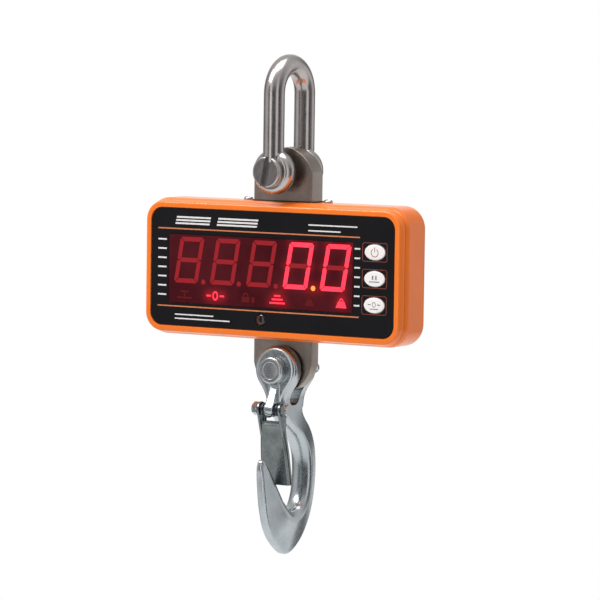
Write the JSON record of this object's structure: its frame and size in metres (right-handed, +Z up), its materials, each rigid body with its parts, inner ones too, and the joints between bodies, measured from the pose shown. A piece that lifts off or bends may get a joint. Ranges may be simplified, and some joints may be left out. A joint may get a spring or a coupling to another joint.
{
  "type": "crane scale",
  "caption": "Hanging crane scale: D-shackle on top, flat load bar through an orange casing with a red LED panel and oval keys, clevis hook with sprung latch below.",
  "frame": {"origin": "inside top of the shackle bow, where a crane's hook bears", "axes": "+Z up along the load line; the panel faces -Y; +X is the viewer's right when facing the panel"},
  "size_m": [0.192, 0.0665, 0.319],
  "materials": {
    "polished_stainless": "polished",
    "nickel_steel": "machined and nickel plated, satin",
    "zinc_steel": "forged and zinc plated",
    "screw_steel": "zinc plated",
    "spring_steel": "blued wire",
    "orange_enamel": "gloss baked enamel",
    "black_overlay": "printed polycarbonate sheet",
    "red_filter": "dark red acrylic",
    "key_face": "white moulded",
    "black_rubber": "moulded",
    "circuit_board": "green solder mask",
    "led_housing": "moulded",
    "battery_wrap": "shrink wrap",
    "gauge_foil": "resin-backed foil",
    "lens_acrylic": "dark infrared acrylic"
  },
  "bodies": {
    "shackle": {"shackle_bow": "polished_stainless", "shackle_pin": "polished_stainless"},
    "scale": {"load_cell": "nickel_steel", "strain_gauge_front": "gauge_foil", "strain_gauge_rear": "gauge_foil", "top_yoke": "screw_steel", "bottom_yoke": "screw_steel", "top_screw_1": "screw_steel", "top_screw_2": "screw_steel", "bottom_screw_1": "screw_steel", "bottom_screw_2": "screw_steel", "case_screw_1": "screw_steel", "case_screw_2": "screw_steel", "case_screw_3": "screw_steel", "case_screw_4": "screw_steel", "board_screw_1": "screw_steel", "board_screw_2": "screw_steel", "board_screw_3": "screw_steel", "board_screw_4": "screw_steel", "door_screw_1": "screw_steel", "door_screw_2": "screw_steel", "front_cover": "orange_enamel", "rear_shell": "orange_enamel", "battery_door": "orange_enamel", "top_seal": "black_rubber", "bottom_seal": "black_rubber", "charging_socket": "black_rubber", "socket_cap": "black_rubber", "battery": "battery_wrap", "panel_overlay": "black_overlay", "display_window": "red_filter", "led_digit_1": "led_housing", "led_digit_2": "led_housing", "led_digit_3": "led_housing", "led_digit_4": "led_housing", "led_digit_5": "led_housing", "indicator_strip": "led_housing", "infrared_receiver": "led_housing", "power_switch": "led_housing", "hold_switch": "led_housing", "zero_switch": "led_housing", "main_board": "circuit_board", "sensor_lens": "lens_acrylic"},
    "hook": {"hook_body": "zinc_steel", "clevis_pin": "zinc_steel", "split_pin": "zinc_steel", "latch_bolt": "zinc_steel", "latch_nut": "zinc_steel"},
    "latch": {"latch_plate": "zinc_steel", "latch_spring": "spring_steel"},
    "power_button": {"power_key": "key_face"},
    "hold_button": {"hold_key": "key_face"},
    "zero_button": {"zero_key": "key_face"}
  },
  "joints": [
    {"name": "shackle_swing", "type": "hinge", "parent": "shackle", "child": "scale", "pos_m": [0, 0, -0.0606], "axis": [0, 1, 0], "range_deg": [-90, 90]},
    {"name": "hook_swing", "type": "hinge", "parent": "scale", "child": "hook", "pos_m": [0, 0, -0.1864], "axis": [0, 1, 0], "range_deg": [-85, 85]},
    {"name": "latch_swing", "type": "hinge", "parent": "hook", "child": "latch", "pos_m": [0, -0.0168, -0.2112], "axis": [1, 0, 0], "range_deg": [0, 28], "stiffness_Nm_per_rad": 0.05, "springref_deg": -28.65, "deforming": ["latch_spring"]},
    {"name": "power_press", "type": "slide", "parent": "scale", "child": "power_button", "axis": [0, 1, 0], "range_m": [0, 0.0005], "stiffness_N_per_m": 500, "springref_m": -0.0004},
    {"name": "hold_press", "type": "slide", "parent": "scale", "child": "hold_button", "axis": [0, 1, 0], "range_m": [0, 0.0005], "stiffness_N_per_m": 500, "springref_m": -0.0004},
    {"name": "zero_press", "type": "slide", "parent": "scale", "child": "zero_button", "axis": [0, 1, 0], "range_m": [0, 0.0005], "stiffness_N_per_m": 500, "springref_m": -0.0004}
  ]
}
